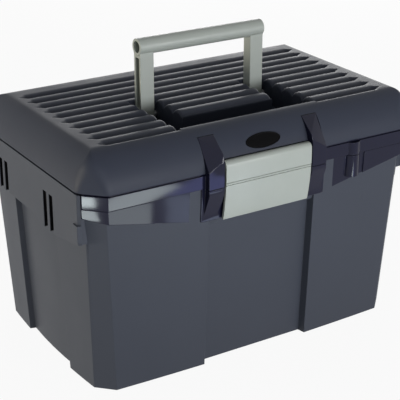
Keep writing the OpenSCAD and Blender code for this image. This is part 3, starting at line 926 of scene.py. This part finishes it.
    def _outline(self, share: float, inset: float, front_run: float) -> list[Flat]:
        """Outline of the dome with rounded corner facets.

        Args:
            share: Share of the shoulder's run gone in.
            inset: Set-back from the outer skin.
            front_run: Run of the front shoulder.

        Returns:
            Points that run round the outline from the front left corner.
        """
        hl = self.half_l - self.side_shoulder * share - inset
        front = self.half_w - front_run * share - inset
        rear = self.half_w - self.rear_shoulder * share - inset
        cut = self.rim_corner * (1 - share) ** self.facet_closing
        rounded = min(self.fillet_share + self.fillet_growth * share, self.fillet_limit)
        tangent = rounded * cut * math.sqrt(0.5)
        radius = tangent / math.tan(math.pi / 8)
        corners = [(hl - cut, -front), (hl, cut - front), (hl, rear - cut), (hl - cut, rear)]
        corners += [(cut - hl, rear), (-hl, rear - cut), (-hl, cut - front), (cut - hl, -front)]
        x_share = (hl - cut - tangent) / self.deck_x
        y_low, y_high = cut + tangent - front, rear - cut - tangent
        y_share = (y_high - y_low) / (self.deck_rear - self.deck_front)
        along_y = [y_low + (y - self.deck_front) * y_share for y in self.ys]
        sides = [
            [(x * x_share, -front) for x in self.xs],
            [(hl, y) for y in along_y],
            [(x * x_share, rear) for x in reversed(self.xs)],
            [(-hl, y) for y in reversed(along_y)],
        ]
        points: list[Flat] = []
        for side in range(4):
            points += sides[side]
            for k in (0, 1):
                centre = Vector(corners[2 * side + k])
                heading = math.radians(90 * side + 45 * k)
                ahead = Vector((math.cos(heading), math.sin(heading)))
                middle = centre - ahead * tangent + Vector((-ahead.y, ahead.x)) * radius
                # The fillets' outer ends are already there as the ends of the sides.
                for i in range(1 - k, self.fillet_steps + 1 - k):
                    turn = heading - math.pi / 2 + math.radians(45) * i / self.fillet_steps
                    points.append((middle.x + radius * math.cos(turn), middle.y + radius * math.sin(turn)))
        return points

    def _shape(self) -> Shape:
        """Build the closed cover with a flat deck and the mask for its grooves.

        Returns:
            The shape.
        """
        bm = bmesh.new()
        mask = bm.verts.layers.float.new(self.grooves.mask)
        outer = self._skin(bm, mask, True)
        inner = self._skin(bm, mask, False)
        for i in range(len(outer)):
            j = (i + 1) % len(outer)
            bm.faces.new((outer[i], inner[i], inner[j], outer[j]))
        bmesh.ops.remove_doubles(bm, verts=bm.verts, dist=self.weld)
        bmesh.ops.recalc_face_normals(bm, faces=bm.faces)
        return bm

    def _skin(self, bm: Shape, mask: Layer, outside: bool) -> Row:
        """Add the outer or the inner skin.

        Args:
            bm: Mesh that gets the skin.
            mask: Layer that marks the points that grooves lower.
            outside: True for the outer skin.

        Returns:
            Points of the lowest ring, in order.
        """
        deck = self._deck(bm, mask, outside)
        front, rear = [column[0] for column in deck], [column[-1] for column in deck]
        top: Row = []
        for side in (front, deck[-1], rear[::-1], deck[0][::-1]):
            top += side + [side[-1]] * (2 * self.fillet_steps)
        rows = [top]
        height = self.dome_h if outside else self.dome_h - self.deck_t
        inset = 0.0 if outside else self.wall
        front_run = self.front_shoulder if outside else self.half_w - self.wall + self.under_front
        for k in reversed(range(self.rings)):
            angle = math.radians(90 * k / self.rings)
            share = 1 - math.cos(angle) ** (2 / self.roundness)
            z = self.seam_z + height * math.sin(angle) ** (2 / self.roundness)
            if outside and k == 0:
                z += self.foot_radius
            if outside and share > 1 - self.crest_share:
                z = self.deck_z - self.crest_drop(self.front_shoulder * (1 - share))
            rows.append(self._ring(bm, self._outline(share, inset, front_run), z, outside))
        if outside:
            middle = self.foot_radius * self.foot_middle
            for foot_in, rise in ((middle, middle), (self.foot_radius, 0.0)):
                foot = self._outline(0.0, foot_in, front_run)
                rows.append(self._ring(bm, foot, self.seam_z + rise, True))
        for upper, lower in zip(rows, rows[1:]):
            for i in range(len(upper)):
                j = (i + 1) % len(upper)
                loop = [upper[i], upper[j], lower[j], lower[i]]
                if upper[i] is upper[j]:
                    loop = [upper[i], lower[j], lower[i]]
                bm.faces.new(loop)
        return rows[-1]

    def _ring(self, bm: Shape, outline: Sequence[Flat], z: float, outside: bool) -> Row:
        """Add the points of one ring.

        Args:
            bm: Mesh that gets the points.
            outline: Outline of the ring.
            z: Its height.
            outside: False on the inner skin, which is thicker behind the latch barrel.

        Returns:
            The points in order.
        """
        thick = not outside and z < self.seam_z + self.bed_h
        points = []
        for x, y in outline:
            behind_barrel = y < self.bed_from and abs(x) < self.bed_half
            points.append(bm.verts.new((x, self.bed_y if thick and behind_barrel else y, z)))
        return points

    def _deck(self, bm: Shape, mask: Layer, outside: bool) -> list[Row]:
        """Add the deck with the trench, or its underside.

        Args:
            bm: Mesh that gets the deck.
            mask: Layer that marks the points that grooves lower.
            outside: True for the top, False for the underside.

        Returns:
            The points by X line and Y line.
        """
        trench = self.trench
        clear = self.wall_run / 2
        scale_x = self.under_x / self.deck_x
        scale_y = (self.under_rear - self.under_front) / (self.deck_rear - self.deck_front)
        deck = []
        for x in self.xs:
            column = []
            for y in self.ys:
                if outside:
                    sunk = trench.distance(x, y, -clear) == 0
                    near = trench.distance(x, y, 0.0, self.lip_radius / self.lip_crisp)
                    near = min(near, self.lip_radius)
                    round_off = math.sqrt(max(self.lip_radius**2 - (self.lip_radius - near) ** 2, 0.0))
                    edge = min(self.deck_x - abs(x), y - self.deck_front, self.deck_rear - y)
                    top = self.deck_z - self.crest_drop(-edge)
                    z = trench.floor_z if sunk else top - self.lip_radius + round_off
                    point = bm.verts.new((x, y, z))
                    on_rim = abs(x) < trench.outer + clear / 2 and y < trench.front + clear / 2
                    point[mask] = 0.0 if sunk or on_rim else 1.0
                else:
                    px = x * scale_x
                    py = self.under_front + (y - self.deck_front) * scale_y
                    sunk = trench.distance(px, py, self.wall - clear) == 0
                    z = trench.floor_z - self.wall if sunk else self.deck_z - self.deck_t
                    point = bm.verts.new((px, py, z))
                column.append(point)
            deck.append(column)
        for left, right in zip(deck, deck[1:]):
            for j in range(len(left) - 1):
                bm.faces.new((left[j], right[j], right[j + 1], left[j + 1]))
        return deck


@dataclass
class Badge(SubAssembly):
    """Bare oval plate with a raised border, sunk in the lid front."""

    cover: LidCover
    length: float = 41.0
    height: float = 15.0
    z: float = 240.094
    count: int = 96
    # Section from the back over the border to the middle: set-back and height over the dome.
    back: float = -1.4
    border: tuple[Flat, ...] = ((0, 0.1), (0.12, 0.35), (0.4, 0.5), (0.8, 0.5), (1.1, 0.38), (1.3, 0.2))
    face: tuple[Flat, ...] = ((2.2, 0.24), (4.0, 0.31), (6.0, 0.36), (7.2, 0.37))
    shade_angle: float = 40.0

    def _place(self) -> Matrix:
        """Frame on the dome's front face.

        Returns:
            Matrix with X along the box, Y up the face and Z out of it.
        """
        front_at, half = self.cover.front_at, self.height / 2
        lean = math.atan((front_at(self.z - half) - front_at(self.z + half)) / self.height)
        upright = Matrix.Rotation(math.pi / 2 - lean, 4, "X")
        return Matrix.Translation((0, -front_at(self.z), self.z)) @ upright

    def stack(self, bm: Shape, section: Iterable[Flat]) -> None:
        """Add a solid of oval rings.

        Args:
            bm: Mesh that gets the solid.
            section: Set-back from the plate's edge and height over the dome, from the bottom up.
        """
        place = self._place()
        turns = [2 * math.pi * i / self.count for i in range(self.count)]
        rows = []
        for inset, z in section:
            a, b = self.length / 2 - inset, self.height / 2 - inset
            ring = [place @ Vector((a * math.cos(t), b * math.sin(t), z)) for t in turns]
            rows.append([bm.verts.new(point) for point in ring])
        faces = [bm.faces.new(list(reversed(rows[0]))), bm.faces.new(rows[-1])]
        for lower, upper in zip(rows, rows[1:]):
            for i in range(self.count):
                j = (i + 1) % self.count
                faces.append(bm.faces.new((lower[i], lower[j], upper[j], upper[i])))
        bmesh.ops.recalc_face_normals(bm, faces=faces)

    def build(self) -> None:
        """Make and dress the plate."""
        bm = bmesh.new()
        self.stack(bm, [(0, self.back), *self.border, *self.face])
        plate = piece_from(bm, "badge_oval")
        smooth(plate, self.shade_angle)
        finish_piece(plate, self.finishes.badge, Body.LID, "badge_plate")


@dataclass
class CoverSeats:
    """Room that is cut out of the cover for ears, pins, badge and latch barrel."""

    cover: LidCover
    # Heights of the ears over the seam, and the depth of their room in the dome.
    ear_top: float = 33.2
    ear_knee: float = 18.5
    ear_depth: float = 4.3
    ear_in: float = 52.7
    ear_out: float = 71.3
    top_step: float = 2.0
    top_proud: float = 0.8
    below_seam: float = 1.0
    front: float = -136.0
    pin_in: float = 51.0
    pin_out: float = 85.5
    pin_y: float = -4.5
    pin_z: float = 243.246
    pin_r: float = 3.05
    badge_gap: float = 0.3
    badge_mouth: float = 12.0
    barrel_half: float = 53.3
    barrel_y: float = -131.0
    barrel_z: float = 225.2
    barrel_r: float = 6.5

    def fittings(self) -> Shape:
        """Shape the room for the ears, the handle pins and the badge plate.

        Returns:
            Closed shapes.
        """
        bm = bmesh.new()
        cover = self.cover
        low, deep = cover.seam_z - self.below_seam, self.ear_depth
        top, knee = cover.seam_z + self.ear_top, cover.seam_z + self.ear_knee
        room = [
            (deep - cover.half_w, low),
            (deep - cover.half_w, cover.seam_z),
            (deep - cover.front_at(knee), knee),
            (deep - cover.front_at(top), top - self.top_step),
            (-cover.front_at(top) - self.top_proud, top),
            (self.front, top),
            (self.front, low),
        ]
        bore = circle(self.pin_y, self.pin_z, self.pin_r)
        for side in (-1, 1):
            prism(bm, *sorted((side * self.ear_in, side * self.ear_out)), room)
            prism(bm, *sorted((side * self.pin_in, side * self.pin_out)), bore)
        badge = Badge(cover.finishes, cover)
        badge.stack(bm, [(-self.badge_gap, z) for z in (badge.back, self.badge_mouth)])
        return bm

    def barrel_bed(self) -> Shape:
        """Shape the round bed of the latch barrel.

        Returns:
            Closed shape.
        """
        bm = bmesh.new()
        bed = circle(self.barrel_y, self.barrel_z, self.barrel_r)
        prism(bm, -self.barrel_half, self.barrel_half, bed)
        return bm


@dataclass
class Lid(SubAssembly):
    """Lid: polished frame with ears, domed cover, badge plate and pins."""

    edge_radius: float = 0.5
    splits_x: tuple[float, ...] = (0.0, 49.0, -49.0, 75.0, -75.0)
    splits_y: tuple[float, ...] = (0.0, 138.0, -131.0)

    def build(self) -> None:
        """Make and dress the lid."""
        splits = (*((0, x) for x in self.splits_x), *((1, y) for y in self.splits_y))
        rim = softened_copy("lid_frame", "lid_rim", self.edge_radius, splits)
        finish_piece(rim, self.finishes.rim, Body.LID, "lid_frame")
        cover = LidCover(self.finishes)
        cover.build()
        Badge(self.finishes, cover).build()
        for node in ("latch_pin", "handle_pin_left", "handle_pin_right"):
            repaint(node, self.finishes.steel)


@dataclass
class Handle(SubAssembly):
    """Carrying handle: hollow grip on two channel legs."""

    edge_radius: float = 0.6
    splits: Planes = ((0, 0.0),)

    def build(self) -> None:
        """Make and dress the handle."""
        handle = softened_copy("carry_handle", "carrying_handle", self.edge_radius, self.splits)
        finish_piece(handle, self.finishes.silver, Body.HANDLE, "carry_handle")


@dataclass
class Latch(SubAssembly):
    """Latch flap: a barrel on the pin, a bowed plate with a double line and a foot lip."""

    half_w: float = 51.5
    pin_y: float = -131.0
    pin_z: float = 225.2
    barrel_r: float = 5.5
    bore_r: float = 2.05
    bore_points: int = 32
    bore_past: float = 1.0
    height: float = 57.5
    thickness: float = 3.0
    foot_y: float = -131.0
    foot_round: tuple[Flat, ...] = ((0.0, 0.6), (0.25, 0.15), (0.8, 0.0))
    bulge: float = 1.0
    lip_y: float = -128.4
    lip_h: float = 3.0
    lip_round: float = 0.5
    line_share: float = 0.32
    line_pitch: float = 2.4
    line_half: float = 0.45
    line_depth: float = 1.1
    line_clear: float = 0.3
    face_steps: int = 24
    back_steps: int = 12
    # First and last turn of the barrel's outline and its step, in degrees.
    barrel_turns: tuple[int, int, int] = (-80, 180, 10)
    end_radius: float = 0.8
    end_segments: int = 3
    shade_angle: float = 30.0

    def _front(self, z: float) -> float:
        """Place of the bowed front face.

        Args:
            z: Height.

        Returns:
            Place along Y.
        """
        t = (self.pin_z - z) / self.height
        top = self.pin_y - self.barrel_r
        return (1 - t) ** 2 * top + 2 * t * (1 - t) * (top - self.bulge) + t * t * self.foot_y

    def _profile(self) -> list[Flat]:
        """Section of the flap.

        Returns:
            Points as (y, z), from the barrel's front down the face and up the back.
        """
        foot = self.pin_z - self.height
        line = self.pin_z - self.height * self.line_share
        line_room = self.line_pitch / 2 + self.line_half + self.line_clear
        heights = [self.pin_z - self.height * i / self.face_steps for i in range(self.face_steps)]
        face = [(self._front(z), z) for z in heights if abs(z - line) > line_room]
        for side in (1, -1):
            middle = line + side * self.line_pitch / 2
            for z, depth in ((self.line_half, 0.0), (0.0, self.line_depth), (-self.line_half, 0.0)):
                face.append((self._front(middle + z) + depth, middle + z))
        face.sort(key=lambda p: -p[1])
        face += [(self.foot_y + inward, foot + up) for inward, up in self.foot_round]
        lip = [(self.lip_y - self.lip_round, foot), (self.lip_y, foot + self.lip_round)]
        lip.append((self.lip_y, foot + self.lip_h))
        back_low, back_h = foot + 2 * self.lip_h, self.height - 4 * self.lip_h
        heights = [back_low + back_h * i / self.back_steps for i in range(self.back_steps + 1)]
        back = [(self._front(z) + self.thickness, z) for z in heights]
        barrel = []
        for turn in range(*self.barrel_turns):
            a = math.radians(turn)
            y, z = self.pin_y + self.barrel_r * math.cos(a), self.pin_z + self.barrel_r * math.sin(a)
            barrel.append((y, z))
        return face + lip + back + barrel

    def build(self) -> None:
        """Make and dress the flap."""
        bm = bmesh.new()
        prism(bm, -self.half_w, self.half_w, self._profile())
        weight = bm.edges.layers.float.new("bevel_weight_edge")
        for edge in bm.edges:
            on_one_end = abs(edge.verts[0].co.x - edge.verts[1].co.x) < self.half_w
            edge[weight] = 1.0 if on_one_end else 0.0
        flap = piece_from(bm, "latch_flap_moulding")
        rounding = flap.modifiers.new("end_radius", "BEVEL")
        rounding.width = self.end_radius * MM
        rounding.segments = self.end_segments
        rounding.limit_method = "WEIGHT"
        bore = bmesh.new()
        reach = self.half_w + self.bore_past
        prism(bore, -reach, reach, circle(self.pin_y, self.pin_z, self.bore_r, self.bore_points))
        carve(flap, {"pin_bore": bore})
        smooth(flap, self.shade_angle)
        finish_piece(flap, self.finishes.silver, Body.LATCH, "latch_flap")


@dataclass
class Studio:
    """Pale floor, soft light and the camera at the photograph's view."""

    eye: Point = (-653.3, -1055.4, 656.2)
    tilt: float = 67.046
    heading: float = -31.872
    lens: float = 109.467
    sensor: float = 36.0
    view_reach: float = 50000.0
    floor: float = 8000.0
    floor_white: float = 0.93
    room_light: float = 0.2
    # Name, centre, point that it faces, side lengths, watts and colour.
    softboxes: tuple[tuple[str, Point, Point, Flat, float, str], ...] = (
        ("key_softbox", (250, -2200, 330), (0, 0, 150), (1900, 420), 36, "#fafbff"),
        ("side_softbox", (-1700, 450, 110), (0, 0, 130), (900, 200), 16, "#fff6e4"),
        ("back_strip", (1400, 1600, 700), (0, 0, 240), (1600, 300), 12, "#ffffff"),
    )
    # Lit cards that lie face up on the floor, for the polished rim to reflect: name, centre, side
    # lengths, turn in degrees, watts and colour.
    cards: tuple[tuple[str, Flat, Flat, float, float, str], ...] = (
        ("strip_card", (86, -568), (154, 72), -32, 0.45, "#eaf6f8"),
        ("band_card", (12, -439), (74, 84), 30, 0.125, "#eaf6f8"),
        ("strip_corner_card", (-642, -328), (66, 36), 26, 0.25, "#eaf6f8"),
        ("band_corner_card", (-487, -246), (50, 32), 21, 0.1, "#eaf6f8"),
        ("panel_card", (97, -407), (76, 90), 30, 0.085, "#cfe0ff"),
        ("ear_card", (196, -559), (140, 58), -32, 0.1, "#9ca6ff"),
    )
    card_z: float = 4.0

    def build(self) -> None:
        """Set up floor, world, lamps and camera."""
        bpy.context.scene.view_settings.view_transform = "Standard"
        self._floor()
        self._world()
        for name, place, target, *light in self.softboxes:
            ahead = Vector(target) - Vector(place)
            self._lamp(name, place, ahead.to_track_quat("-Z", "Y").to_euler(), *light)
        for name, place, size, turn, *light in self.cards:
            face_up = Euler((math.pi, 0.0, math.radians(turn)))
            self._lamp(name, (*place, self.card_z), face_up, size, *light)
        self._camera()

    def _floor(self) -> None:
        """Lay the pale floor, which keeps the shadow and reads white to the camera."""
        bm = bmesh.new()
        bmesh.ops.create_grid(bm, x_segments=1, y_segments=1, size=self.floor)
        obj = piece_from(bm, "floor")
        material = bpy.data.materials.new("pale_studio_floor")
        material.use_nodes = True
        tree = material.node_tree
        pale = tree.nodes["Principled BSDF"]
        fill(tree, pale, {"Base Color": linear("#d8d8d8"), "Roughness": 0.9})
        share = {0: self._seen(tree), 1: self.floor_white}
        share = add_node(tree, "ShaderNodeMath", {"operation": "MULTIPLY"}, share).outputs[0]
        white = add_node(tree, "ShaderNodeEmission", inputs={"Color": linear("#ffffff"), "Strength": 1.0})
        shaders = {0: share, 1: pale.outputs[0], 2: white.outputs[0]}
        mix = add_node(tree, "ShaderNodeMixShader", inputs=shaders)
        fill(tree, tree.nodes["Material Output"], {"Surface": mix.outputs[0]})
        obj.data.materials.append(material)

    def _seen(self, tree: Tree) -> Socket:
        """Tell the rays that show the surroundings from those that only carry light.

        Args:
            tree: Shader tree of the surroundings.

        Returns:
            Socket that is 1 for camera, glossy and transmission rays and 0 for all others.
        """
        path = add_node(tree, "ShaderNodeLightPath").outputs
        seen = path["Is Camera Ray"]
        for ray in ("Is Glossy Ray", "Is Transmission Ray"):
            either = {0: seen, 1: path[ray]}
            seen = add_node(tree, "ShaderNodeMath", {"operation": "MAXIMUM"}, either).outputs[0]
        return seen

    def _world(self) -> None:
        """Light the room dimly and keep it white where it is seen or mirrored."""
        world = bpy.data.worlds.new("studio")
        world.use_nodes = True
        tree = world.node_tree
        levels = {"Value": self._seen(tree), "To Min": self.room_light, "To Max": 1.0}
        level = add_node(tree, "ShaderNodeMapRange", inputs=levels).outputs["Result"]
        fill(tree, tree.nodes["Background"], {"Color": linear("#ffffff"), "Strength": level})
        bpy.context.scene.world = world

    def _lamp(self, name: str, place: Point, turn: Euler, size: Flat, power: float, colour: str) -> None:
        """Place a lamp that the camera doesn't see.

        Args:
            name: Name of the lamp.
            place: Its centre.
            turn: How it is turned from facing down.
            size: Side lengths.
            power: Power in watts.
            colour: Colour of its light.
        """
        data = bpy.data.lights.new(name, "AREA")
        data.shape = "RECTANGLE"
        data.size = size[0] * MM
        data.size_y = size[1] * MM
        data.energy = power
        data.color = linear(colour)[:3]
        lamp = new_object(name, data)
        lamp.location = Vector(place) * MM
        lamp.rotation_euler = turn
        lamp.visible_camera = False

    def _camera(self) -> None:
        """Place the camera where the photograph was taken from."""
        data = bpy.data.cameras.new("camera")
        data.sensor_width = self.sensor
        data.lens = self.lens
        data.clip_end = self.view_reach * MM
        camera = new_object("camera", data)
        camera.location = Vector(self.eye) * MM
        camera.rotation_euler = (math.radians(self.tilt), 0.0, math.radians(self.heading))
        bpy.context.scene.camera = camera


def main() -> None:
    """Build the studio and every sub-assembly in order."""
    logging.basicConfig(level=logging.INFO, format="%(message)s")
    finishes = Finishes()
    Studio().build()
    for part in (Tub, Tray, Lid, Handle, Latch):
        part(finishes).build()


if __name__ == "__main__":
    main()
